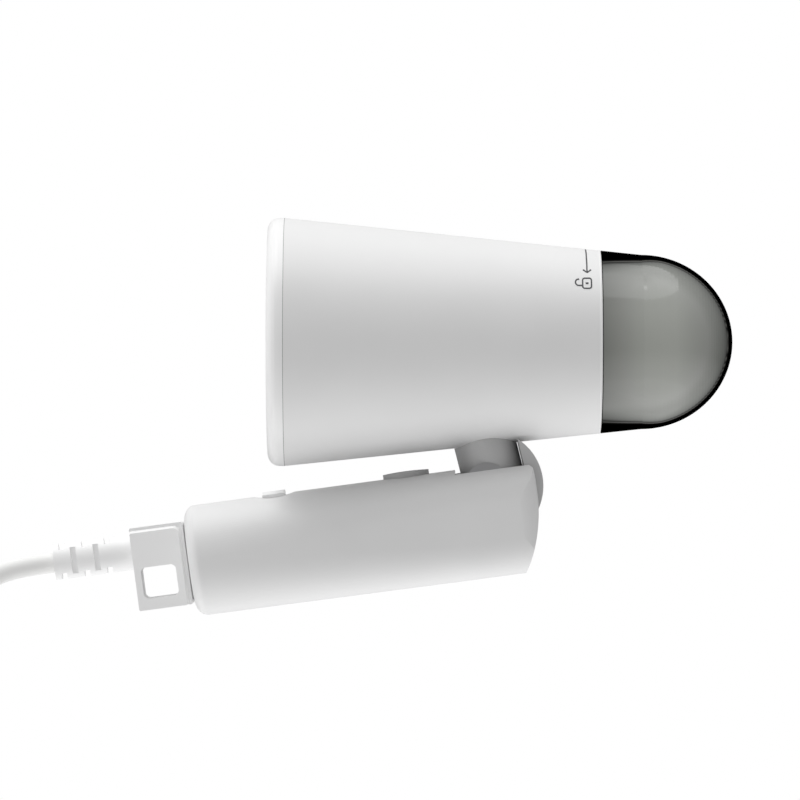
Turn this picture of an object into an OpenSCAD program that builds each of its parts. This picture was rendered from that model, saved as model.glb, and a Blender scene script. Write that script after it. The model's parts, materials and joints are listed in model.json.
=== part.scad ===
// Folding handheld garment steamer. Origin at the middle of the grip, +X towards the water tank,
// +Z up, and Y across the appliance. All lengths are in millimetres.

/* [Handle] */
// Upward slope of the handle towards the hinge, in degrees
handle_tilt = 7.6; // [6:0.2:9]
// Diameter of the grip
grip_d = 38.7; // [36:0.1:40]
// Wall of the moulded covers
wall = 2.4; // [2:0.1:2.8]
// Distance along the handle from the grip's middle to the end cap's seam
grip_back = 57.6; // [56:0.1:60]
// Thickness of the end cap
cap_t = 4.1; // [3:0.1:5]

/* [Hinge] */
// Hinge position along the handle from the grip's middle
hinge_u = 45; // [44:0.5:46]
// Hinge height above the handle's centreline
hinge_w = 12.6; // [12:0.1:13]
// Half width of the neck between the handle's cheeks
neck_half = 12.8; // [12:0.1:13]
// Radius of the hinge pin
pin_r = 3; // [2.5:0.1:3.5]
// Radius of the round hinge cover
cover_r = 19.4; // [19:0.1:19.8]

/* [Head] */
// Height of the head's axis above the hinge
head_rise = 50.2; // [50:0.1:51]
// Head radius at the bezel seam
front_r = 43.4; // [43:0.1:44]
// Head radius at the tank joint
rear_r = 32; // [31.8:0.1:32.4]
// Bezel seam, along the head from the hinge
seam_x = -70.9; // [-71.5:0.1:-70]
// Tank joint, along the head from the hinge
joint_x = 39.5; // [39:0.1:40]
// Width of the front bezel
bezel_w = 5.8; // [5:0.1:6.5]

/* [Tank] */
// Overall reach of the tank past the joint
tank_reach = 46; // [45:0.5:47]
// Thickness of the clear tank wall
tank_wall = 2.2; // [2:0.1:2.6]
// Twist that frees the tank, in degrees
release_twist = 60; // [50:5:60]
// Distance the tank moves out during the twist
release_travel = 15; // [13:0.5:15]

/* [Cord] */
// Diameter of the power cord
cord_d = 7; // [6:0.5:7.5]
// Mean radius of the stored coil
coil_r = 40.4; // [38:0.1:42]
// Turns in the stored coil
coil_turns = 7; // [6:1:7]

/* [Hidden] */
$fn = 64;
grip_r = grip_d / 2;
cap_out = -(grip_back + cap_t);
dome_r = 57.8;
dome_u = 4.1;
dome_w = 9.2;
end_corner = 4.2;
end_side = 7;
cheek_half = 20.5;
cheek_corner = 13;
slot_half = neck_half + 0.4;
barrel_r = 6.8;
pin_half = 15.5;
slot_start = 34.5;
pivot_x = hinge_u * cos(handle_tilt) - hinge_w * sin(handle_tilt);
pivot_z = hinge_u * sin(handle_tilt) + hinge_w * cos(handle_tilt);
slope = (front_r - rear_r) / (joint_x - seam_x);
spigot_out = front_r - wall - 0.7;
trigger_u = 17.35;
trigger_r = 8.05;
trigger_proud = 2;
power_u = -29.4;
power_len = 8;
dish_depth = 1.1;
cap_edge = 5.5;
block_out = -81;
block_low = -14.7;
block_high = 14.3;
block_half = 9.5;
eye_u = -72.6;
eye_w = -5.3;
boot_w = 5.9;
boot_len = 27.6;
boot_r = 6.2;
boot_core = 4.1;
board_w = -8;
socket_in = 24;
spigot_r = 22;
lug_r = 24.8;
slot_floor = 3.5;
lug_low = -12.3;
// Turn that centres the lugs in the slots at the lugs' own height
lug_lead = release_twist / release_travel * (joint_x + 0.8 + lug_low - socket_in - slot_floor);
// Where the tank's side turns into its dome, and its radius there
tank_mid = 14;
tank_r = 30.5;
plate_x = -73.4;
cover_x = -52;
boiler_r = 36;
element_r = 24;
filler_off = 13;
clamp_u = -52;
coil_x = -187.4;
coil_z = -62;
coil_y = -14.4;
coil_pitch = cord_d + 0.2;
tail_len = 40;
plug_x = coil_x + coil_r;
plug_y = coil_y + coil_turns * coil_pitch;
plug_z = coil_z - tail_len;
// The cord's route from the clamp through the boot and over the bend to the coil
lead_route = [[-47.4, 0, -0.4], [-107.4, 0, -8.4],
    [-112, 0, -9], [-117, 0, -9.8], [-122, -0.4, -10.8],
    [-127, -1, -12.3], [-132, -2, -14.8], [-137, -3.4, -18.8], [-141, -5, -23.8],
    [-144, -7, -29.8], [-146, -9.2, -36.8], [-147, -11.6, -44.8], [-147, -13.4, -52.8],
    [-147, -14.4, -62]];

// Radius of the head's tapered outside at a place along it
function head_radius(x) = rear_r + (joint_x - x) * slope;
function sub(a, b) = [a[0] - b[0], a[1] - b[1], a[2] - b[2]];
function unit(a) = a / norm(a);

// Tube of a given radius swept along a route; side_dir is any direction across the route
module swept_tube(route, r, sides, side_dir) {
    n = len(route);
    rings = [for (i = [0 : n - 1])
        let (along = unit(sub(route[min(i + 1, n - 1)], route[max(i - 1, 0)])),
            a = unit(cross(along, side_dir)), b = cross(along, a))
        for (k = [0 : sides - 1]) route[i] + r * (cos(k * 360 / sides) * a
            + sin(k * 360 / sides) * b)];
    walls = [for (i = [0 : n - 2]) for (k = [0 : sides - 1])
        let (a = i * sides + k, b = i * sides + (k + 1) % sides)
            each [[a, b, b + sides], [a, b + sides, a + sides]]];
    ends = [[for (k = [sides - 1 : -1 : 0]) k], [for (k = [0 : sides - 1]) (n - 1) * sides + k]];
    polyhedron(rings, concat(walls, ends));
}

// Compression spring standing on z = 0
module coil_spring(r, wire_r, h, turns) {
    steps = turns * 10;
    swept_tube([for (i = [0 : steps]) [r * cos(i * 36), r * sin(i * 36),
        wire_r + (h - 2 * wire_r) * i / steps]], wire_r, 6, [0, 0, 1]);
}

// Places children in the sloping handle's own axes
module in_handle() rotate([0, -handle_tilt, 0]) children();
// Places children with the hinge as origin
module at_hinge() translate([pivot_x, 0, pivot_z]) children();
// Turns a +Z solid to lie along the head's axis, starting at place x
module on_head(x = 0) translate([pivot_x + x, 0, pivot_z + head_rise]) rotate([0, 90, 0])
    children();
module tube(r_out, r_in, h) difference() {
    cylinder(r = r_out, h = h);
    translate([0, 0, -1]) cylinder(r = r_in, h = h + 2);
}
module across(r, half) rotate([90, 0, 0]) cylinder(r = r, h = 2 * half, center = true);

// ---- Handle ----
// Side outline of the grip and its arched hinge end
module handle_side(inset) intersection() {
    translate([dome_u, dome_w]) circle(r = dome_r - inset, $fn = 96);
    hull() {
        translate([0, -30]) square([dome_u + dome_r, 20]);
        translate([-grip_back, -30]) square([40, 60]);
        translate([dome_u + dome_r - end_corner, grip_r - end_corner]) circle(r = end_corner - inset);
    }
}
// Plan outline of the hinge end, with rounded sides
module handle_plan(inset) hull() {
    for (y = [-1, 1]) translate([dome_u + dome_r - end_side, y * (cheek_half - end_side)])
        circle(r = end_side - inset);
    translate([-40, -30]) square([40, 60]);
}
module handle_solid(inset = 0) intersection() {
    hull() {
        translate([-grip_back, 0, 0]) rotate([0, 90, 0])
            cylinder(r = grip_r - inset, h = grip_back + 10, $fn = 128);
        for (y = [-1, 1], w = [-1, 1])
            translate([36, y * (cheek_half - cheek_corner), w * (grip_r - cheek_corner)])
                rotate([0, 90, 0]) cylinder(r = cheek_corner - inset, h = 40, $fn = 96);
    }
    union() {
        translate([-grip_back, -40, -40]) cube([40, 80, 80]);
        intersection() {
            translate([0, 40, 0]) rotate([90, 0, 0]) linear_extrude(80) handle_side(inset);
            translate([0, 0, -40]) linear_extrude(80) handle_plan(inset);
        }
    }
}

// Room that the neck and the hinge cover sweep between the cheeks
module hinge_slot() translate([0, slot_half, 0]) rotate([90, 0, 0]) linear_extrude(2 * slot_half)
    union() {
        translate([hinge_u, hinge_w]) circle(r = 12.2);
        intersection() {
            translate([hinge_u, hinge_w]) circle(r = cover_r + 0.6);
            polygon([[hinge_u, hinge_w], [hinge_u, 60], [90, 60], [90, -60], [hinge_u, -60],
                [10, -14]]);
        }
        polygon([[slot_start, 8], [slot_start, 40], [90, 40], [90, -60], [hinge_u, hinge_w]]);
    }

module handle_inside() {
    translate([-grip_back - 1, 0, 0]) rotate([0, 90, 0]) cylinder(r = grip_r - wall, h = 80);
    translate([15, 0, -4]) rotate([0, 90, 0]) cylinder(r = 3.5, h = 20);
}

module screw_places() for (p = [[-48, -11], [0, -13], [30, -12]]) translate([p[0], 0, p[1]]) children();

module handle_half(side) intersection() {
    difference() {
        union() {
            difference() {
                handle_solid();
                handle_inside();
            }
            intersection() {
                screw_places() across(3.6, grip_r - 1);
                handle_solid(1);
            }
        }
        hinge_slot();
        translate([hinge_u, 0, hinge_w]) across(pin_r, pin_half + 0.1);
        for (a = [67 : 7 : 88]) rotate([0, handle_tilt, 0]) at_hinge() rotate([0, a, 0])
            translate([-pivot_x, 0, -pivot_z]) head_cone(0.4);
        translate([trigger_u, 0, 8]) cylinder(r = trigger_r + 0.35, h = 20);
        translate([power_u - power_len / 2 - 0.3, -6.3, 8]) cube([power_len + 0.6, 12.6, 20]);
        translate([power_u, 0, grip_r - dish_depth + 24]) across(24, 30);
        translate([-6, 0, 10]) cylinder(r = 1.6, h = 20);
        screw_places() across(1.3, 13);
        screw_places() rotate([-90, 0, 0]) translate([0, 0, 13]) cylinder(r = 3, h = 20);
    }
    translate([-100, side > 0 ? 0 : -100, -100]) cube([200, 100, 200]);
}
module handle_shell_left() color("whitesmoke") in_handle() handle_half(-1);
module handle_shell_right() color("whitesmoke") in_handle() handle_half(1);
module handle_screws() color("silver") in_handle() screw_places() rotate([-90, 0, 0]) {
    translate([0, 0, -8]) cylinder(r = 1.3, h = 21);
    translate([0, 0, 13]) cylinder(r = 2.6, h = 1.6);
}
module handle_end_cap() color("whitesmoke") in_handle() translate([cap_out, 0, 0])
    rotate([0, 90, 0]) difference() {
        union() {
            rotate_extrude() polygon(concat([[0, 0]], [for (a = [0 : 10 : 90])
                [grip_r - cap_edge * (1 - sin(a)), cap_t * (1 - cos(a))]], [[0, cap_t]]));
            translate([0, 0, cap_t]) cylinder(r = grip_r - wall - 0.05, h = 4);
        }
        translate([0, 0, cap_t]) cylinder(r = grip_r - 2 * wall, h = 5);
        translate([-boot_w, 0, -1]) cylinder(r = cord_d / 2 + 0.2, h = 10);
    }
// Rounded slab of the cord exit block, up to a corner at (u, w)
module block_slab(u, w, corner, half) hull() {
    translate([u - corner, 0, w - corner]) across(corner, half, $fn = 32);
    for (p = [[u - 0.6, block_low + 0.6], [block_out + 0.6, w - 0.6], [block_out + 0.6, block_low + 0.6]])
        translate([p[0], 0, p[1]]) across(0.6, half, $fn = 24);
}
module cord_exit_block() color("gainsboro") in_handle() difference() {
    union() {
        block_slab(cap_out - 0.5, block_high, 0.8, block_half - 1.2);
        translate([cap_out - 2, 3 - block_half, block_low + 2])
            cube([2, 2 * block_half - 6, block_high - block_low - 4]);
        hull() {
            block_slab(cap_out - 1.6, block_high - 1, 2.6, block_half - 1.2);
            block_slab(cap_out - 2.4, block_high - 1.8, 2, block_half);
        }
    }
    translate([eye_u, 0, eye_w]) cube([8.7, 40, 10.9], center = true);
    translate([eye_u, 0, eye_w]) cube([12.3, 40, 7.3], center = true);
    for (u = [-4.35, 4.35], w = [-3.65, 3.65]) translate([eye_u + u, 0, eye_w + w]) across(1.8, 20);
    translate([-90, 0, boot_w]) rotate([0, 90, 0]) cylinder(r = cord_d / 2 + 0.2, h = 40);
}
module strain_relief() color("gainsboro") in_handle() translate([block_out, 0, boot_w])
    rotate([0, -90, 0]) difference() {
        tube(boot_r, cord_d / 2 + 0.1, boot_len);
        for (i = [0 : 4]) translate([0, 0, 7.5 + i * 4]) for (s = [-1, 1])
            rotate([0, 0, i % 2 * 90]) translate([s * (boot_core + 5), 0, 1])
                cube([10, 20, 2], center = true);
    }
module cord_clamp() color("dimgray") in_handle() translate([clamp_u, 0, boot_w]) difference() {
    translate([-3, -9, -5.2]) cube([6, 18, 10.4]);
    rotate([0, 90, 0]) cylinder(r = cord_d / 2, h = 20, center = true);
    for (y = [-6.6, 6.6]) translate([0, y, -6]) cylinder(r = 1.2, h = 14);
}
module cord_clamp_screws() color("silver") in_handle() for (y = [-6.6, 6.6])
    translate([clamp_u, y, boot_w - 5]) {
        cylinder(r = 1.2, h = 10.2);
        translate([0, 0, 10.2]) cylinder(r = 2, h = 1.2);
    }
module control_board() color("darkgreen") in_handle() {
    translate([-38, -12, board_w]) cube([42, 24, 1.6]);
    translate([-34, -9, board_w + 1.6]) cube([12, 9, 7]);
    translate([-16, 3, board_w + 1.6]) cube([10, 7, 6]);
    translate([0, -5, board_w + 1.6]) cylinder(r = 3, h = 8);
}
module trigger_microswitch() color("black") in_handle() {
    translate([trigger_u - 12, -10, -2]) cube([13, 6, 8]);
    translate([trigger_u - 2, -8, 6]) cube([3, 2, 1.2]);
}
module power_microswitch() color("black") in_handle() {
    translate([power_u - 4, -4, 3]) cube([8, 8, 5]);
    translate([power_u, 0, 8]) cylinder(r = 1.4, h = 1.3);
}
module handle_wires() color("firebrick") in_handle() for (i = [-1 : 1])
    translate([-47, i * 2.2, boot_w + 0.8]) rotate([0, 90, 0]) cylinder(r = 0.9, h = 8.9);
module indicator_lens() color("orange") in_handle() translate([-6, 0, 15]) cylinder(r = 1.55, h = 4.3);
module hinge_pin() color("silver") in_handle() translate([hinge_u, 0, hinge_w]) across(pin_r, pin_half);
module hinge_washers() color("silver") in_handle() for (s = [-1, 1])
    translate([hinge_u, s * (neck_half + 0.2) + 0.15, hinge_w]) rotate([90, 0, 0])
        tube(8, pin_r + 0.02, 0.3);
module trigger_button() color("darkgray") in_handle() translate([trigger_u, 0, 0]) difference() {
    union() {
        intersection() {
            translate([0, 0, 14]) cylinder(r = trigger_r, h = 10);
            translate([0, 0, grip_r + trigger_proud - 90]) sphere(r = 90, $fn = 96);
        }
        translate([0, -6.6, 8.8]) cylinder(r = 1.2, h = 6);
        translate([0, 0, 9.6]) cylinder(r = 3, h = 5);
        translate([0, 0, 10]) cylinder(r = 1.2, h = 5);
    }
    translate([0, 0, 9]) cylinder(r = 2, h = 4);
}
module trigger_spring() color("silver") in_handle() translate([trigger_u, 0, -6])
    coil_spring(2.6, 0.3, 15.4, 7);
module power_button() color("darkgray") in_handle() translate([power_u, 0, 0]) {
    intersection() {
        translate([-power_len / 2, -6, 14]) cube([power_len, 12, 8]);
        translate([0, 0, 1.2]) rotate([0, 90, 0]) cylinder(r = grip_r, h = 20, center = true);
    }
    translate([0, 0, 11]) cylinder(r = 1.8, h = 4);
}
module power_spring() color("silver") in_handle() translate([power_u, 0, 8]) coil_spring(2.6, 0.3, 6, 3);

// ---- Hinge, moving side ----
module head_cone(grow = 0) on_head(seam_x - 20)
    cylinder(r1 = head_radius(seam_x - 20) + grow, r2 = head_radius(joint_x) + grow,
        h = joint_x - seam_x + 20, $fn = 128);
// Level slice of the neck, narrow towards the front
module neck_slice() linear_extrude(1) hull() {
    translate([0.8, 0]) scale([0.8, 1]) circle(r = neck_half);
    translate([-8.5, 0]) circle(r = 2.6);
}
module neck() color("gainsboro") difference() {
    union() {
        at_hinge() across(barrel_r, neck_half);
        difference() {
            hull() {
                at_hinge() translate([2.1, 0, 3]) neck_slice();
                at_hinge() translate([-3.2, 0, 24]) neck_slice();
            }
            head_cone(0.02);
        }
    }
    at_hinge() across(4.5, neck_half + 1);
    at_hinge() translate([-0.5, 0, 8]) rotate([0, -12, 0]) cylinder(r = 3.5, h = 20);
}
module hinge_bushes() color("black") for (s = [-1, 1]) at_hinge() translate([0, s * 7.8 + 5, 0])
    rotate([90, 0, 0]) tube(4.5, pin_r + 0.04, 10);
module hinge_cover() color("silver") difference() {
    at_hinge() translate([0, neck_half, 0]) rotate([90, 0, 0]) linear_extrude(2 * neck_half)
        difference() {
            intersection() {
                circle(r = cover_r, $fn = 96);
                polygon([[10.4, 16.5], [13.75, 2.6], [7, 2.6], [5, -5], [40, -40], [40, 16.5]]);
            }
            circle(r = barrel_r + 0.05);
        }
    head_cone(0.2);
}

// ---- Head ----
module head_shell() color("whitesmoke") difference() {
    on_head(seam_x) cylinder(r1 = front_r, r2 = rear_r, h = joint_x - seam_x, $fn = 128);
    on_head(seam_x - 0.01)
        cylinder(r1 = front_r - wall, r2 = rear_r - wall, h = joint_x - seam_x + 0.02, $fn = 128);
    at_hinge() translate([-4, 0, 6]) rotate([0, -12, 0]) cylinder(r = 6, h = 20);
}
module front_bezel() color("white") on_head(seam_x - bezel_w) rotate_extrude($fn = 128) polygon(concat(
    [for (a = [0 : 15 : 90]) [front_r - 4 + 4 * sin(a), 4 - 4 * cos(a)]],
    [[front_r, bezel_w], [spigot_out, bezel_w], [spigot_out, bezel_w + 5],
        [spigot_out - 2.1, bezel_w + 5], [spigot_out - 2.1, 5.1], [39.8, 5.1], [39.8, 0]]));
module steam_plate() color("silver") on_head(seam_x - bezel_w - 0.7) difference() {
    rotate_extrude($fn = 128) polygon(concat([for (i = [0 : 6]) [39.5 * i / 6, 1.3 * i * i / 36]],
        [[39.5, 4], [0, 4]]));
    for (i = [0 : 5]) rotate([0, 0, i * 60]) translate([13, 0, -1]) cylinder(r = 1.3, h = 9);
    for (i = [0 : 11]) rotate([0, 0, i * 30]) translate([27, 0, -1]) cylinder(r = 1.3, h = 9);
}
module plate_gasket() color("dimgray") on_head(plate_x) tube(39.3, boiler_r + 0.2, 1.6);
module boiler_body() color("gray") difference() {
    on_head(plate_x) cylinder(r = boiler_r, h = cover_x - plate_x);
    on_head(-74) cylinder(r = 32, h = 4.6);
    on_head(-58) cylinder(r = 30, h = 7);
    for (a = [0 : 90 : 270]) on_head(-74) rotate([0, 0, a]) translate([12, 0, 0])
        cylinder(r = 2, h = 18);
    element_path(3.3);
}
module boiler_cover() color("darkgray") difference() {
    on_head(cover_x) cylinder(r = boiler_r, h = 2);
    on_head(cover_x - 1) cylinder(r = 2.5, h = 4);
    for (a = [0, 300]) on_head(cover_x - 1) rotate([0, 0, a]) translate([element_r, 0, 0])
        cylinder(r = 1.8, h = 4);
}
module boiler_screws() color("silver") for (a = [45 : 90 : 315]) on_head(-50) rotate([0, 0, a])
    translate([33, 0, 0]) cylinder(r = 2.6, h = 1.8);
module element_path(r) on_head(-66) rotate_extrude(angle = 300) translate([element_r, 0]) circle(r = r);
module heating_element() color("dimgray") {
    element_path(3.3);
    for (a = [0, 300]) on_head(-66) rotate([0, 0, a]) translate([element_r, 0, 0])
        cylinder(r = 1.5, h = 22);
}
module boiler_carrier() color("dimgray") on_head(-65.6) difference() {
    tube(39.3, boiler_r + 0.2, 8);
    for (a = [0 : 60 : 300]) rotate([0, 0, a]) translate([34, -6, 3]) cube([10, 12, 6]);
}
module thermostat() color("silver") on_head(-50) translate([14, 10, 0]) {
    cylinder(r = 7, h = 4.5);
    for (y = [-4, 4]) translate([-0.4, y - 2, 4]) cube([0.8, 4, 7]);
}
module thermal_fuse() color("tan") on_head(-48) translate([-18, 0, 0]) rotate([90, 0, 0])
    cylinder(r = 2, h = 14, center = true);
module heat_shield() color("silver") on_head(-37.5) difference() {
    cylinder(r = 36.2, h = 0.8);
    translate([0, 0, -1]) cylinder(r = 4.5, h = 3);
    for (a = [0 : 45 : 315]) rotate([0, 0, a]) translate([27, 0, -1]) cylinder(r = 3.5, h = 3);
}
module pump_body() color("white") {
    on_head(-26) tube(5, 3.6, 36);
    on_head(-30) tube(5, 1, 4);
    on_head(10) tube(5, 1, 4);
    on_head(-34) tube(2, 1, 4);
    on_head(14) tube(2, 1, 4);
}
module pump_coil() color("saddlebrown") on_head(-18) tube(11, 5.1, 22);
module pump_yoke() color("silver") on_head(-19.4) difference() {
    translate([-12.6, -9, 0]) cube([25.2, 18, 24.8]);
    translate([-11.2, -10, 1.4]) cube([22.4, 20, 22]);
    translate([0, 0, -1]) cylinder(r = 5.1, h = 30);
}
module pump_mounts() color("dimgray") {
    on_head(-26) tube(8.5, 5.1, 4);
    on_head(7.5) tube(8.5, 5.1, 2.4);
}
module pump_plunger() color("silver") on_head(-14) tube(3.5, 1.2, 18);
module inlet_hose() color("lightgray") on_head(15) tube(3.1, 2.05, 9);
module outlet_hose() color("lightgray") on_head(-49.8) tube(3.1, 2.05, 18.8);

// Helical sector that a bayonet lug fills or that its slot leaves open, from z = 0 upwards
module bayonet(r_in, r_out, span, h) linear_extrude(height = h, slices = ceil(h / 1.5),
    twist = -release_twist * h / release_travel) polygon(concat(
        [for (a = [-span / 2 : span / 6 : span / 2 + 0.01]) r_out * [cos(a), sin(a)]],
        [for (a = [span / 2 : -span / 3 : -span / 2 - 0.01]) r_in * [cos(a), sin(a)]]));
module tank_socket() color("gainsboro") on_head(socket_in) difference() {
    union() {
        cylinder(r = 30.8, h = 2.5);
        cylinder(r = 27.6, h = joint_x - socket_in);
        translate([0, 0, joint_x - socket_in - 1.6]) cylinder(r = 29.5, h = 1.6);
    }
    translate([0, 0, 2.5]) cylinder(r = spigot_r + 0.4, h = 20);
    translate([0, 0, -1]) cylinder(r = 4.6, h = 5);
    for (a = [0 : 120 : 240]) rotate([0, 0, a]) translate([0, 0, slot_floor])
        bayonet(21, lug_r + 0.5, 20, 13);
    for (a = [60 : 120 : 300]) rotate([0, 0, a]) translate([15, 0, -1]) cylinder(r = 1.5, h = 5);
}
module socket_screws() color("silver") for (a = [60 : 120 : 300]) on_head(socket_in) rotate([0, 0, a])
    translate([15, 0, 0]) {
        translate([0, 0, -6]) cylinder(r = 1.45, h = 8.5);
        translate([0, 0, 2.5]) cylinder(r = 2.6, h = 1.4);
    }
module head_wires() color("firebrick") for (i = [-1 : 1])
    on_head(-46) translate([27, i * 2.2, 0]) cylinder(r = 0.9, h = 42);

// ---- Tank ----
module tank_seal_ring() color("dimgray") on_head(joint_x + 0.1) tube(29, spigot_r + 0.3, 0.6);
module tank_base() color("gainsboro") on_head(joint_x + 0.8) difference() {
    union() {
        cylinder(r = 29, h = 2.4);
        translate([0, 0, -12.6]) cylinder(r = spigot_r, h = 13);
        translate([0, 0, -16]) cylinder(r = 4.2, h = 16);
        for (a = [0 : 120 : 240]) rotate([0, 0, a + lug_lead]) translate([0, 0, lug_low])
            bayonet(20, lug_r, 17, 3);
    }
    difference() {
        translate([0, 0, -13]) cylinder(r = spigot_r - 2.4, h = 13);
        translate([0, 0, -20]) cylinder(r = 4.2, h = 21);
        translate([filler_off, 0, -3.4]) cylinder(r = 6, h = 4);
    }
    translate([0, 0, -17]) cylinder(r = 2.6, h = 22);
    translate([filler_off, 0, -5]) cylinder(r = 4, h = 10);
}
module tank_outline(inset) {
    polygon(concat([[0, 0], [head_radius(joint_x + 0.3) - inset, 0]],
        [for (a = [0 : 2.5 : 90]) [(tank_r - inset) * cos(a),
            tank_mid + (tank_reach - tank_mid - inset) * sin(a)]]));
}
module tank_shell() color("gray", 0.5) on_head(joint_x + 0.3) rotate_extrude($fn = 128) difference() {
    tank_outline(0);
    difference() {
        tank_outline(tank_wall);
        translate([-1, -1]) square([1, 80]);
    }
    translate([-1, -1]) square([head_radius(joint_x) - 2.8 + 1, 3.9]);
}
module filler_stopper() color("dimgray") on_head(joint_x - 2.8) translate([filler_off, 0, 0]) {
    cylinder(r = 3.95, h = 5);
    translate([0, 0, -1.2]) cylinder(r = 5.4, h = 1.2);
}
module valve_poppet() color("white") on_head(joint_x - 14) {
    cylinder(r = 1.2, h = 10);
    cylinder(r = 2.5, h = 3);
}
module dip_hose() color("lightgray") translate([pivot_x + joint_x, 0, pivot_z + head_rise])
    swept_tube([[3.4, 0, 0], [5.5, 0, 0], [8, 0, -1.5], [9.3, 0, -4.5], [9.6, 0, -9], [9.8, 0, -13],
        [10.8, 0, -16.2]], 1.8, 8, [0, 1, 0]);
module inlet_strainer() color("silver") translate([0, 0, -20]) on_head(joint_x + 9)
    cylinder(r = 3.5, h = 12);

// ---- Cord ----
module power_cord() color("white") swept_tube(lead_route, cord_d / 2, 10, [0, 1, 0]);
module cord_tail() color("white") translate([plug_x, plug_y, plug_z])
    cylinder(r = cord_d / 2, h = tail_len);
module cord_coil() color("white") translate([coil_x, coil_y - coil_pitch / 2, coil_z]) rotate([-90, 0, 0])
    tube(coil_r + cord_d / 2, coil_r - cord_d / 2, (coil_turns + 1) * coil_pitch);
module cord_tie() color("black") translate([coil_x, 0, coil_z + coil_r]) difference() {
    translate([-7, coil_y - 6, -5.5]) cube([14, (coil_turns + 1) * coil_pitch + 4.8, 10.6]);
    translate([-8, coil_y - 4.2, -4.3]) cube([16, (coil_turns + 1) * coil_pitch + 1.2, 8.2]);
}
module plug_body() color("white") translate([plug_x, plug_y, plug_z]) rotate([180, 0, 0]) {
    difference() {
        union() {
            cylinder(r1 = 5, r2 = 9, h = 16);
            translate([0, 0, 16]) cylinder(r = 15, h = 10);
            translate([0, 0, 26]) cylinder(r = 18.2, h = 14);
        }
        for (s = [-1, 1]) translate([s * 9.5, 0, 30]) cylinder(r = 2, h = 11);
        for (s = [-1, 1]) translate([-4, s * 18.4 - 2, 25]) cube([8, 4, 16]);
        translate([0, 0, 30]) translate([0, -9.5, 0]) cylinder(r = 2.8, h = 11);
    }
}
module plug_pins() color("silver") translate([plug_x, plug_y, plug_z]) rotate([180, 0, 0])
    for (s = [-1, 1]) translate([s * 9.5, 0, 30]) {
        cylinder(r = 2, h = 10);
        translate([0, 0, 10]) cylinder(r = 2.4, h = 17.5);
        translate([0, 0, 27.5]) cylinder(r1 = 2.4, r2 = 1.2, h = 1.5);
    }
module plug_earth_contacts() color("silver") translate([plug_x, plug_y, plug_z]) rotate([180, 0, 0])
    for (s = [-1, 1]) translate([-2.5, s * 17 - 0.4, 26]) cube([5, 0.8, 14]);

handle_shell_left();
handle_shell_right();
handle_end_cap();
handle_screws();
cord_exit_block();
strain_relief();
cord_clamp();
cord_clamp_screws();
control_board();
trigger_microswitch();
power_microswitch();
handle_wires();
indicator_lens();
hinge_pin();
hinge_washers();
trigger_button();
trigger_spring();
power_button();
power_spring();
neck();
hinge_bushes();
hinge_cover();
head_shell();
front_bezel();
steam_plate();
plate_gasket();
boiler_body();
boiler_cover();
boiler_screws();
heating_element();
boiler_carrier();
thermostat();
thermal_fuse();
heat_shield();
pump_body();
pump_coil();
pump_yoke();
pump_mounts();
pump_plunger();
inlet_hose();
outlet_hose();
tank_socket();
socket_screws();
head_wires();
tank_seal_ring();
tank_base();
tank_shell();
filler_stopper();
valve_poppet();
dip_hose();
inlet_strainer();
power_cord();
cord_tail();
cord_coil();
cord_tie();
plug_body();
plug_pins();
plug_earth_contacts();
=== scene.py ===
"""A folding handheld garment steamer: camera, cord, fine details, materials and studio."""

import json
import math

import bmesh
import bpy
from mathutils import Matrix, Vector


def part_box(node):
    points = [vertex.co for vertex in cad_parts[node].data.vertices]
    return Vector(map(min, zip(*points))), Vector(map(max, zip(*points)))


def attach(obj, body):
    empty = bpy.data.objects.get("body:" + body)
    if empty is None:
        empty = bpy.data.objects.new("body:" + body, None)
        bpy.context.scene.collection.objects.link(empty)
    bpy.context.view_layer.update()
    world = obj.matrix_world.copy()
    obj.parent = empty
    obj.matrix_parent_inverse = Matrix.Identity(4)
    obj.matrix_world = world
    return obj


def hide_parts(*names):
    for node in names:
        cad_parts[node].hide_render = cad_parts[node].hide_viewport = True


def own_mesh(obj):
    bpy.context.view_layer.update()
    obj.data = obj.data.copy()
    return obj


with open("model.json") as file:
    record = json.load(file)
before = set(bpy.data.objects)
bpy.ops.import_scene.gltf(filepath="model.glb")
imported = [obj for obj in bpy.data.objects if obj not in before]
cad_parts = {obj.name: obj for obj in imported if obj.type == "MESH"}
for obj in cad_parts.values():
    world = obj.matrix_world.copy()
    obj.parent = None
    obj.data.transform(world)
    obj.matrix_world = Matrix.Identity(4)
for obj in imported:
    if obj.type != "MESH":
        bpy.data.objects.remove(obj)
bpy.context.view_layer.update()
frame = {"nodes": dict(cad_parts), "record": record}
NODES = frame["nodes"]
MM = 0.001

# ---- Camera, square to the steamer's side ----
VIEW_CENTRE = Vector((0.01244, 0.0, 0.04834))
CAMERA_DISTANCE = 2.15
VIEW_WIDTH = 0.280
SENSOR = 36.0


def make_camera():
    data = bpy.data.cameras.new("camera")
    data.sensor_width = SENSOR
    data.lens = SENSOR * CAMERA_DISTANCE / VIEW_WIDTH
    data.clip_start = 0.01
    data.clip_end = 50
    camera = bpy.data.objects.new("camera", data)
    camera.location = VIEW_CENTRE - Vector((0, CAMERA_DISTANCE, 0))
    camera.rotation_euler = (math.pi / 2, 0, 0)
    bpy.context.scene.collection.objects.link(camera)
    bpy.context.scene.camera = camera


make_camera()

def closed_sweep(rings):
    """Vertices and faces of a tube through rings of equal size, with both ends closed."""
    size = len(rings[0])
    vertices = [v for ring in rings for v in ring]
    faces = [(i * size + k, i * size + (k + 1) % size, (i + 1) * size + (k + 1) % size,
              (i + 1) * size + k) for i in range(len(rings) - 1) for k in range(size)]
    last = (len(rings) - 1) * size
    return vertices, faces + [tuple(range(size))[::-1], tuple(range(last, last + size))]


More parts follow.
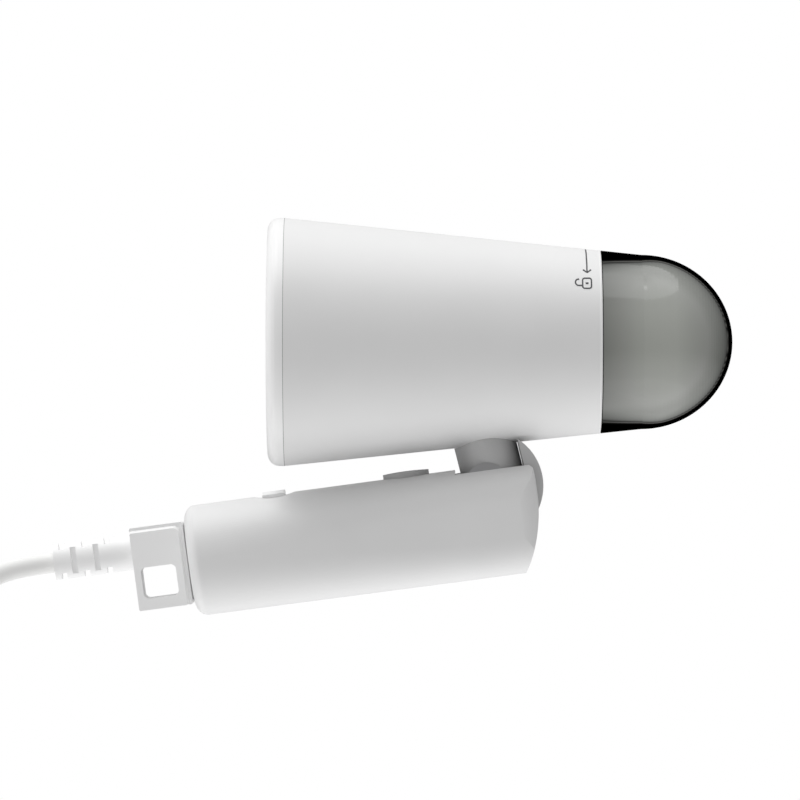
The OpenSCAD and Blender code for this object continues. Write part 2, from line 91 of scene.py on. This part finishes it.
# ---- The power cord: route from the boot, then the stored coil, then the tail into the plug ----
CORD_D = 0.007
CORD_SIDES = 24
TURN_STEPS = 24
TAIL_STEPS = 4
COIL_R = 0.0404
COIL_TURNS = 7
COIL_PITCH = CORD_D + 0.0002
COIL_CENTRE = Vector((-0.1874, -0.0144, -0.062))
TAIL = 0.040
CLAMP_END = (-47.4, 0, -0.4)
LEAD_ROUTE = [(-107.4, 0, -8.4), (-112, 0, -9), (-117, 0, -9.8), (-122, -0.4, -10.8),
              (-127, -1, -12.3), (-132, -2.4, -14.8), (-137, -4.4, -18.8), (-141, -6.9, -23.8),
              (-144, -9.8, -29.8), (-146, -12.4, -36.8), (-147, -14.2, -44.8), (-147, -14.9, -52.8),
              (-147, -14.7, -62)]


def coil_point(turn):
    angle = turn * math.tau
    return COIL_CENTRE + Vector((COIL_R * math.cos(angle), turn * COIL_PITCH,
                                 -COIL_R * math.sin(angle)))


def cord_route():
    lead = [Vector(point) * MM for point in LEAD_ROUTE]
    coil = [coil_point(i / TURN_STEPS) for i in range(1, TURN_STEPS * COIL_TURNS + 1)]
    foot = coil[-1]
    tail = [foot - Vector((0, 0, TAIL * i / TAIL_STEPS)) for i in range(1, TAIL_STEPS + 1)]
    return lead + coil + tail


def smooth_route(points, between=3):
    """The same route through every point, with Catmull-Rom points in between."""
    result = []
    for i in range(len(points) - 1):
        before, start = points[max(i - 1, 0)], points[i]
        end, after = points[i + 1], points[min(i + 2, len(points) - 1)]
        for k in range(between):
            t = k / between
            result.append(0.5 * (2 * start + (end - before) * t
                                 + (2 * before - 5 * start + 4 * end - after) * t * t
                                 + (3 * start - before - 3 * end + after) * t ** 3))
    return result + [points[-1]]


def flex_tube(name, route):
    """A closed mesh tube of the flex's real size along a route, riding on the handle."""
    side = Vector((0, 1, 0))
    rings = []
    for i, place in enumerate(route):
        along = (route[min(i + 1, len(route) - 1)] - route[max(i - 1, 0)]).normalized()
        across = along.cross(side).normalized()
        other = along.cross(across)
        angles = (math.tau * k / CORD_SIDES for k in range(CORD_SIDES))
        rings.append([place + CORD_D / 2 * (math.cos(a) * across + math.sin(a) * other)
                      for a in angles])
    vertices, faces = closed_sweep(rings)
    mesh = bpy.data.meshes.new(name)
    mesh.from_pydata([tuple(v) for v in vertices], [], faces)
    for face in mesh.polygons[:-2]:
        face.use_smooth = True
    tube = bpy.data.objects.new(name, mesh)
    bpy.context.scene.collection.objects.link(tube)
    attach(tube, "handle")
    return tube


def make_cord():
    """The free cord, and the stretch of it inside the boot and the handle."""
    route = smooth_route(cord_route())
    cord = flex_tube("flex", route)
    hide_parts("power_cord", "cord_coil", "cord_tail")
    inside = flex_tube("flex_inside", [Vector(CLAMP_END) * MM, route[0]])
    length = sum((b - a).length for a, b in zip(route, route[1:]))
    return cord, inside, route, length


cord, cord_inside, route, cord_length = make_cord()


# ---- Materials ----
# The tank's colour from its middle out to its edge as seen: its smoke tint in the middle, darkening
# to painted shade in a black rim with a thin painted highlight line inside it; and along it from
# joint to tip, painted shade darker towards both ends
TANK_TINT_AND_PAINTED_RIM = ((0.0, (0.50, 0.515, 0.475)), (0.30, (0.40, 0.41, 0.385)), (0.52, (0.20, 0.21, 0.19)),
             (0.62, (0.13, 0.135, 0.125)), (0.665, (0.03, 0.03, 0.03)), (0.68, (0.16, 0.16, 0.15)),
             (0.70, (0.012, 0.012, 0.012)), (0.73, (0.0, 0.0, 0.0)), (1.0, (0.0, 0.0, 0.0)))
# Painted shade: the tank darker towards the joint and the tip
TANK_PAINTED_END_SHADE = ((0.0, (0.55,) * 3), (0.25, (0.85,) * 3), (0.55, (1.0,) * 3), (0.85, (0.80,) * 3),
              (1.0, (0.55,) * 3))
# How much wider the painted dark rim is near the joint
TANK_PAINTED_RIM_WIDENING = ((0.0, (0.16,) * 3), (0.45, (0.0,) * 3), (1.0, (0.0,) * 3))


def new_material(name):
    material = bpy.data.materials.new(name)
    material.use_nodes = True
    tree = material.node_tree
    shader = tree.nodes["Principled BSDF"]
    return material, tree, shader


def node(tree, kind):
    return tree.nodes.new(kind)


def noise(tree, scale, detail=3.0):
    place = node(tree, "ShaderNodeTexCoord")
    made = node(tree, "ShaderNodeTexNoise")
    made.inputs["Scale"].default_value = scale
    made.inputs["Detail"].default_value = detail
    tree.links.new(place.outputs["Object"], made.inputs["Vector"])
    return made


def stops(tree, source, places):
    """A grey or coloured ramp through (position, colour) places."""
    made = node(tree, "ShaderNodeValToRGB")
    elements = made.color_ramp.elements
    for element, (position, colour) in zip(elements, (places[0], places[-1])):
        element.position = position
        element.color = (*colour, 1)
    for position, colour in places[1:-1]:
        elements.new(position).color = (*colour, 1)
    tree.links.new(source, made.inputs["Fac"])
    return made


def ramp(tree, source, low, high, start=0.3, end=0.7):
    """A ramp between two colours."""
    return stops(tree, source, ((start, low), (end, high)))


def bump(tree, shader, height, strength, distance):
    made = node(tree, "ShaderNodeBump")
    made.inputs["Strength"].default_value = strength
    made.inputs["Distance"].default_value = distance
    tree.links.new(height, made.inputs["Height"])
    tree.links.new(made.outputs["Normal"], shader.inputs["Normal"])


def plastic(name, colour, roughness, grain=2600.0, depth=0.00002, coat=0.0):
    """Moulded plastic: a fine spark-eroded grain and slight drift of colour and gloss."""
    material, tree, shader = new_material(name)
    drift = noise(tree, 38.0)
    low = tuple(c * 0.975 for c in colour)
    tint = ramp(tree, drift.outputs["Fac"], low, colour)
    tree.links.new(tint.outputs["Color"], shader.inputs["Base Color"])
    gloss = ramp(tree, drift.outputs["Fac"], (roughness * 0.93,) * 3, (roughness * 1.07,) * 3)
    tree.links.new(gloss.outputs["Color"], shader.inputs["Roughness"])
    bump(tree, shader, noise(tree, grain, 2.0).outputs["Fac"], 0.35, depth)
    shader.inputs["Coat Weight"].default_value = coat
    shader.inputs["Coat Roughness"].default_value = 0.25
    return material


def metal(name, colour, roughness, streaks=(900.0, 60.0)):
    """Machined or drawn metal with fine streaks across one direction."""
    material, tree, shader = new_material(name)
    place = node(tree, "ShaderNodeTexCoord")
    stretch = node(tree, "ShaderNodeMapping")
    stretch.inputs["Scale"].default_value = (1.0, streaks[0], streaks[1])
    grain = node(tree, "ShaderNodeTexNoise")
    grain.inputs["Scale"].default_value = 1.0
    tree.links.new(place.outputs["Object"], stretch.inputs["Vector"])
    tree.links.new(stretch.outputs["Vector"], grain.inputs["Vector"])
    tint = ramp(tree, grain.outputs["Fac"], tuple(c * 0.9 for c in colour), colour)
    tree.links.new(tint.outputs["Color"], shader.inputs["Base Color"])
    gloss = ramp(tree, grain.outputs["Fac"], (roughness * 0.8,) * 3, (roughness * 1.2,) * 3)
    tree.links.new(gloss.outputs["Color"], shader.inputs["Roughness"])
    shader.inputs["Metallic"].default_value = 1.0
    bump(tree, shader, grain.outputs["Fac"], 0.2, 0.00001)
    return material


def rubber(name, colour, roughness=0.6):
    return plastic(name, colour, roughness, 1400.0, 0.00003)


def times(tree, first, second):
    made = node(tree, "ShaderNodeVectorMath")
    made.operation = "MULTIPLY"
    tree.links.new(first, made.inputs[0])
    tree.links.new(second, made.inputs[1])
    return made.outputs["Vector"]


def smoky_clear(name):
    """Smoke-tinted clear plastic with a glossy skin: painted shade makes it black where the wall is
    seen edge-on, with a thin painted highlight line inside that rim and painted shade towards its
    two ends.
    """
    material, tree, shader = new_material(name)
    facing = node(tree, "ShaderNodeLayerWeight")
    facing.inputs["Blend"].default_value = 0.5
    place = node(tree, "ShaderNodeTexCoord")
    split = node(tree, "ShaderNodeSeparateXYZ")
    tree.links.new(place.outputs["Generated"], split.inputs["Vector"])
    # Painted shade: how far into the black rim a point lies, from Layer Weight facing plus a
    # widening near the joint
    edge = node(tree, "ShaderNodeMath")
    edge.operation = "ADD"
    tree.links.new(facing.outputs["Facing"], edge.inputs[0])
    tree.links.new(stops(tree, split.outputs["X"], TANK_PAINTED_RIM_WIDENING).outputs["Color"], edge.inputs[1])
    # Smoke tint in the middle, then the painted dark rim and thin painted highlight line at the
    # edge
    tint = stops(tree, edge.outputs["Value"], TANK_TINT_AND_PAINTED_RIM)
    # Painted shade towards the joint and the tip
    depth = stops(tree, split.outputs["X"], TANK_PAINTED_END_SHADE)
    colour = times(tree, tint.outputs["Color"], depth.outputs["Color"])
    tree.links.new(colour, shader.inputs["Base Color"])
    cover = ramp(tree, edge.outputs["Value"], (0.88,) * 3, (1.0,) * 3, 0.3, 0.55)
    tree.links.new(cover.outputs["Color"], shader.inputs["Alpha"])
    sheen = ramp(tree, edge.outputs["Value"], (0.5,) * 3, (0.0,) * 3, 0.50, 0.66)
    tree.links.new(sheen.outputs["Color"], shader.inputs["Specular IOR Level"])
    tree.links.new(sheen.outputs["Color"], shader.inputs["Coat Weight"])
    flow = noise(tree, 55.0)
    gloss = ramp(tree, flow.outputs["Fac"], (0.05,) * 3, (0.08,) * 3)
    tree.links.new(gloss.outputs["Color"], shader.inputs["Roughness"])
    bump(tree, shader, flow.outputs["Fac"], 0.06, 0.00005)
    shader.inputs["Coat Roughness"].default_value = 0.05
    shader.inputs["IOR"].default_value = 1.50
    return material


def circuit_board(name):
    """Green solder mask with a faint weave of tracks."""
    material, tree, shader = new_material(name)
    place = node(tree, "ShaderNodeTexCoord")
    tracks = node(tree, "ShaderNodeTexBrick")
    tracks.inputs["Scale"].default_value = 300.0
    tracks.inputs["Color1"].default_value = (0.01, 0.12, 0.04, 1)
    tracks.inputs["Color2"].default_value = (0.01, 0.16, 0.05, 1)
    tracks.inputs["Mortar"].default_value = (0.03, 0.26, 0.10, 1)
    tree.links.new(place.outputs["Object"], tracks.inputs["Vector"])
    tree.links.new(tracks.outputs["Color"], shader.inputs["Base Color"])
    shader.inputs["Roughness"].default_value = 0.3
    return material


def woven(name, colour):
    """Hook-and-loop strap: a tight cross weave with a soft pile."""
    material, tree, shader = new_material(name)
    place = node(tree, "ShaderNodeTexCoord")
    weave = node(tree, "ShaderNodeTexBrick")
    weave.inputs["Scale"].default_value = 900.0
    weave.inputs["Color1"].default_value = (*colour, 1)
    weave.inputs["Color2"].default_value = (*(c * 1.6 for c in colour), 1)
    weave.inputs["Mortar"].default_value = (0.002, 0.002, 0.002, 1)
    tree.links.new(place.outputs["Object"], weave.inputs["Vector"])
    tree.links.new(weave.outputs["Color"], shader.inputs["Base Color"])
    bump(tree, shader, weave.outputs["Fac"], 0.6, 0.0002)
    shader.inputs["Roughness"].default_value = 0.9
    shader.inputs["Sheen Weight"].default_value = 0.4
    return material


MATERIALS = {
    "shell_white": plastic("shell_white", (0.80, 0.80, 0.80), 0.42, coat=0.05),
    # Painted light: this trim's white is set above the shell's to stand in for the extra light on
    # the flat cord block
    "trim_light_grey": plastic("trim_light_grey", (0.96, 0.96, 0.96), 0.45),
    "trim_mid_grey": plastic("trim_mid_grey", (0.56, 0.56, 0.56), 0.48),
    "clear_smoke": smoky_clear("clear_smoke"),
    "indicator_amber": plastic("indicator_amber", (0.70, 0.28, 0.04), 0.15, 400.0, coat=0.8),
    "inner_black": plastic("inner_black", (0.02, 0.02, 0.02), 0.5),
    "board_green": circuit_board("board_green"),
    "screw_steel": metal("screw_steel", (0.62, 0.62, 0.63), 0.28),
    "plate_metal": metal("plate_metal", (0.55, 0.55, 0.55), 0.24, (700.0, 700.0)),
    "cast_aluminium": metal("cast_aluminium", (0.55, 0.55, 0.56), 0.5, (90.0, 90.0)),
    "seal_rubber": rubber("seal_rubber", (0.03, 0.03, 0.03)),
    "hose_silicone": rubber("hose_silicone", (0.60, 0.60, 0.58), 0.35),
    "inner_white": plastic("inner_white", (0.70, 0.70, 0.68), 0.4),
    "coil_brown": plastic("coil_brown", (0.16, 0.06, 0.02), 0.3, 1200.0),
    "wire_red": plastic("wire_red", (0.40, 0.02, 0.02), 0.4),
    "cord_white": plastic("cord_white", (0.89, 0.89, 0.88), 0.5, 1800.0),
    "tie_black": woven("tie_black", (0.02, 0.02, 0.02)),
    "pin_metal": metal("pin_metal", (0.70, 0.69, 0.66), 0.15, (400.0, 40.0)),
}
MARK_INK = plastic("mark_ink", (0.06, 0.06, 0.065), 0.6)
# Painted highlight: the lighter white of the fine band before the tank joint
PAINTED_HIGHLIGHT_WHITE = plastic("painted_highlight_white", (0.86, 0.86, 0.86), 0.35)
# Painted light: the bezel's white is set lighter than the shell's to stand in for the light its
# left face catches
BEZEL_LIT_WHITE = plastic("bezel_painted_light_white", (0.88, 0.88, 0.88), 0.30, coat=0.05)
# Painted shadow: the dark grey of the fine line where the bezel meets the head shell
SEAM_SHADOW_GREY = plastic("painted_seam_shadow", (0.30, 0.30, 0.30), 0.6)


def dress_nodes():
    slots = {s["node"]: s["material_slot"] for s in frame["record"]["subparts"]}
    for name, obj in NODES.items():
        # The front bezel gets the lighter white that carries its painted light
        material = BEZEL_LIT_WHITE if name == "front_bezel" else MATERIALS[slots[name]]
        if not obj.material_slots:
            obj.data.materials.append(material)
        for place in obj.material_slots:
            place.material = material


dress_nodes()
for tube in (cord, cord_inside):
    tube.data.materials.append(MATERIALS["cord_white"])


def press_spring(node, joint_name):
    """Look up a button's joint and give its return spring a mesh of its own."""
    joint = next(j for j in frame["record"]["behaviour"]["joints"] if j["name"] == joint_name)
    axis, spring = Vector(joint["axis"]), NODES[node]
    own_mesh(spring)


press_spring("trigger_spring", "trigger_press")
press_spring("power_spring", "power_press")


# ---- Fine details, each a mesh of its own ----
INK_SUNK, INK_PROUD = -0.0003, 0.00006
BAND_SUNK = 0.0004
SEAM_W = 0.00018
BOX_CLEAR = 0.000002


def add_mesh(name, vertices, faces, body, material, smooth=True):
    mesh = bpy.data.meshes.new(name)
    mesh.from_pydata([tuple(v) for v in vertices], [], faces)
    mesh.update()
    made = bmesh.new()
    made.from_mesh(mesh)
    bmesh.ops.recalc_face_normals(made, faces=made.faces)
    made.to_mesh(mesh)
    made.free()
    for face in mesh.polygons:
        face.use_smooth = smooth
    obj = bpy.data.objects.new(name, mesh)
    bpy.context.scene.collection.objects.link(obj)
    mesh.materials.append(material)
    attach(obj, body)


shell_low, shell_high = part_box("head_shell")
AXIS_Z = (shell_low.z + shell_high.z) / 2
SEAM_X, JOINT_X = shell_low.x, shell_high.x
FRONT_R = (shell_high.z - shell_low.z) / 2
tank_low, tank_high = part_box("tank_shell")
REAR_R = (tank_high.z - tank_low.z) / 2
SLOPE = (FRONT_R - REAR_R) / (tank_low.x - SEAM_X)


def skin_radius(x):
    """The tapered head's radius."""
    return FRONT_R - (x - SEAM_X) * SLOPE


def on_head_skin(x, height, proud):
    """A point of the head's skin on the near side, at a height above the axis."""
    radius = skin_radius(x) + proud
    return Vector((x, -math.sqrt(max(radius ** 2 - height ** 2, 0)), AXIS_Z + height))


def ink_stroke(name, points, width, closed=False):
    """A flat printed line that follows the head's skin along (x, height) points."""
    count = len(points)
    rings = []
    for i, (x, h) in enumerate(points):
        after = points[(i + 1) % count] if closed or i + 1 < count else points[i]
        before = points[i - 1] if closed or i else points[i]
        along = Vector((after[0] - before[0], after[1] - before[1])).normalized()
        side = Vector((-along.y, along.x)) * width / 2
        rings.append([on_head_skin(x + s * side.x, h + s * side.y, proud)
                      for s, proud in ((-1, INK_SUNK), (1, INK_SUNK), (1, INK_PROUD),
                                       (-1, INK_PROUD))])
    if closed:
        rings.append(rings[0])
    vertices, faces = closed_sweep(rings)
    if closed:
        faces = faces[:-2]
        last = (len(rings) - 1) * len(rings[0])
        faces = [tuple(v - last if v >= last else v for v in face) for face in faces]
        vertices = vertices[:last]
    add_mesh(name, vertices, faces, "head", MARK_INK, smooth=False)


def finer(points, closed=False, step=0.0004):
    """The same outline with points no further apart than a step."""
    ends = points[1:] + points[:1] if closed else points[1:]
    result = []
    for (x, z), (next_x, next_z) in zip(points, ends):
        parts = max(1, math.ceil(math.hypot(next_x - x, next_z - z) / step))
        result += [(x + (next_x - x) * i / parts, z + (next_z - z) * i / parts)
                   for i in range(parts)]
    return result if closed else result + points[-1:]


def arc_points(x, z, radius, start, end, step=20):
    """Points round a centre, between two angles in degrees."""
    return [(x + radius * math.cos(math.radians(a)), z + radius * math.sin(math.radians(a)))
            for a in range(start, end + 1, step)]


def make_lock_marks():
    """The arrow and open padlock that show which way the tank turns."""
    line, width = JOINT_X - 0.0052, 0.00048
    top, tip, wing = 0.0323, 0.0239, 0.0014
    ink_stroke("mark_arrow_line", finer([(line, top), (line, tip)]), width)
    ink_stroke("mark_arrow_head", finer([(line - wing, tip + 0.7 * wing), (line, tip),
                                         (line + wing, tip + 0.7 * wing)]), width)
    lock_x, lock_z, half_w, half_h, corner = line - 0.0001, 0.0201, 0.00153, 0.00178, 0.0007
    body = [point for side_x, side_z, start in ((1, 1, 0), (-1, 1, 90), (-1, -1, 180), (1, -1, 270))
            for point in arc_points(lock_x + side_x * (half_w - corner),
                                    lock_z + side_z * (half_h - corner), corner,
                                    start, start + 90, 30)]
    ink_stroke("mark_lock_body", finer(body, closed=True), width, closed=True)
    loop, hole_half, hole_width = 0.00112, 0.0005, 0.0006
    loop_x, loop_z = lock_x - half_w - 1.25 * loop, lock_z + 0.3 * loop
    shackle = arc_points(loop_x, loop_z, loop, 80, 270) + [(lock_x - half_w, loop_z - loop)]
    ink_stroke("mark_lock_shackle", finer(shackle), width)
    ink_stroke("mark_lock_keyhole",
               finer([(lock_x - hole_half, lock_z), (lock_x + hole_half, lock_z)]), hole_width)


def revolve_x(name, profile, body, material, steps=128):
    """A closed ring of (x, radius) points turned about the head's axis."""
    size = len(profile)
    vertices = [Vector((x, r * math.cos(a), AXIS_Z + r * math.sin(a)))
                for a in (math.tau * i / steps for i in range(steps)) for x, r in profile]
    faces = [(i * size + k, i * size + (k + 1) % size, (i + 1) % steps * size + (k + 1) % size,
              (i + 1) % steps * size + k) for i in range(steps) for k in range(size)]
    add_mesh(name, vertices, faces, body, material)


def make_rear_highlight_band():
    """A fine band of lighter white around the head just before the tank joint: a painted highlight.
    """
    start, end = JOINT_X - 0.0008, JOINT_X - 0.0001
    edge, low, high = 0.0002, 0.00002, 0.00008
    first, last = skin_radius(start), skin_radius(end)
    profile = [(start, first - BAND_SUNK), (start, first + low), (start + edge, first + high),
               (end - edge, last + high), (end, last + low), (end, last - BAND_SUNK)]
    revolve_x("painted_rear_highlight", profile, "head", PAINTED_HIGHLIGHT_WHITE)


def make_bezel_seam():
    """The fine shadow line where the front bezel meets the head shell."""
    start, end, radius = SEAM_X, SEAM_X + SEAM_W, FRONT_R - BOX_CLEAR
    revolve_x("bezel_seam", [(start, radius - BAND_SUNK), (start, radius), (end, radius),
                             (end, radius - BAND_SUNK)], "head", SEAM_SHADOW_GREY,
              steps=512)


make_lock_marks()
make_rear_highlight_band()
make_bezel_seam()


# ---- Studio ----
def area_light(name, energy, size, location, aim):
    data = bpy.data.lights.new(name, "AREA")
    data.energy = energy
    data.size = size
    light = bpy.data.objects.new(name, data)
    light.location = location
    light.rotation_euler = (Vector(aim) - Vector(location)).to_track_quat("-Z", "Y").to_euler()
    bpy.context.scene.collection.objects.link(light)


# Brightness of the studio around the object: from straight down to straight up, then its share
# from the camera's side to the far side, and from the left to the right
SURROUND = ((0.0, 1.7), (0.11, 1.62), (0.14, 1.3), (0.25, 1.05), (0.40, 0.38), (0.50, 0.46),
            (0.62, 0.64), (0.80, 0.92), (0.915, 0.92), (0.925, 2.1), (0.99, 2.1), (1.0, 1.4))
DEPTH_SHARE = ((0.0, 0.55), (0.30, 0.75), (0.48, 1.0), (0.53, 1.0), (0.62, 0.80), (1.0, 0.80))
SIDE_SHARE = ((0.0, 1.8), (0.18, 1.4), (0.38, 1.05), (0.6, 0.96), (1.0, 0.85))


def share(tree, axis, places):
    """A ramp through (position, level) places over -1 to 1 along an axis."""
    shift = node(tree, "ShaderNodeMath")
    shift.operation = "MULTIPLY_ADD"
    shift.inputs[1].default_value = 0.5
    shift.inputs[2].default_value = 0.5
    tree.links.new(axis, shift.inputs[0])
    return stops(tree, shift.outputs["Value"],
                 [(position, (level,) * 3) for position, level in places])


def make_world():
    """A pale surround that is brightest overhead, with a plain white background."""
    world = bpy.data.worlds.new("studio")
    bpy.context.scene.world = world
    world.use_nodes = True
    tree = world.node_tree
    place = node(tree, "ShaderNodeTexCoord")
    split = node(tree, "ShaderNodeSeparateXYZ")
    tree.links.new(place.outputs["Generated"], split.inputs["Vector"])
    levels = [share(tree, split.outputs[axis], places).outputs["Color"]
              for axis, places in (("Z", SURROUND), ("Y", DEPTH_SHARE), ("X", SIDE_SHARE))]
    around = tree.nodes["Background"]
    level = times(tree, times(tree, levels[0], levels[1]), levels[2])
    tree.links.new(level, around.inputs["Color"])
    behind = node(tree, "ShaderNodeBackground")
    behind.inputs["Color"].default_value = (1, 1, 1, 1)
    seen = node(tree, "ShaderNodeLightPath")
    choice = node(tree, "ShaderNodeMixShader")
    tree.links.new(seen.outputs["Is Camera Ray"], choice.inputs["Fac"])
    tree.links.new(around.outputs["Background"], choice.inputs[1])
    tree.links.new(behind.outputs["Background"], choice.inputs[2])
    tree.links.new(choice.outputs["Shader"], tree.nodes["World Output"].inputs["Surface"])


def make_studio():
    make_world()
    area_light("top_light", 3.0, 0.9, (-0.35, -0.25, 1.25), (0, 0, 0.05))
    scene = bpy.context.scene
    scene.view_settings.view_transform = "Standard"
    scene.view_settings.look = "None"
    scene.view_settings.exposure = 0.0


make_studio()
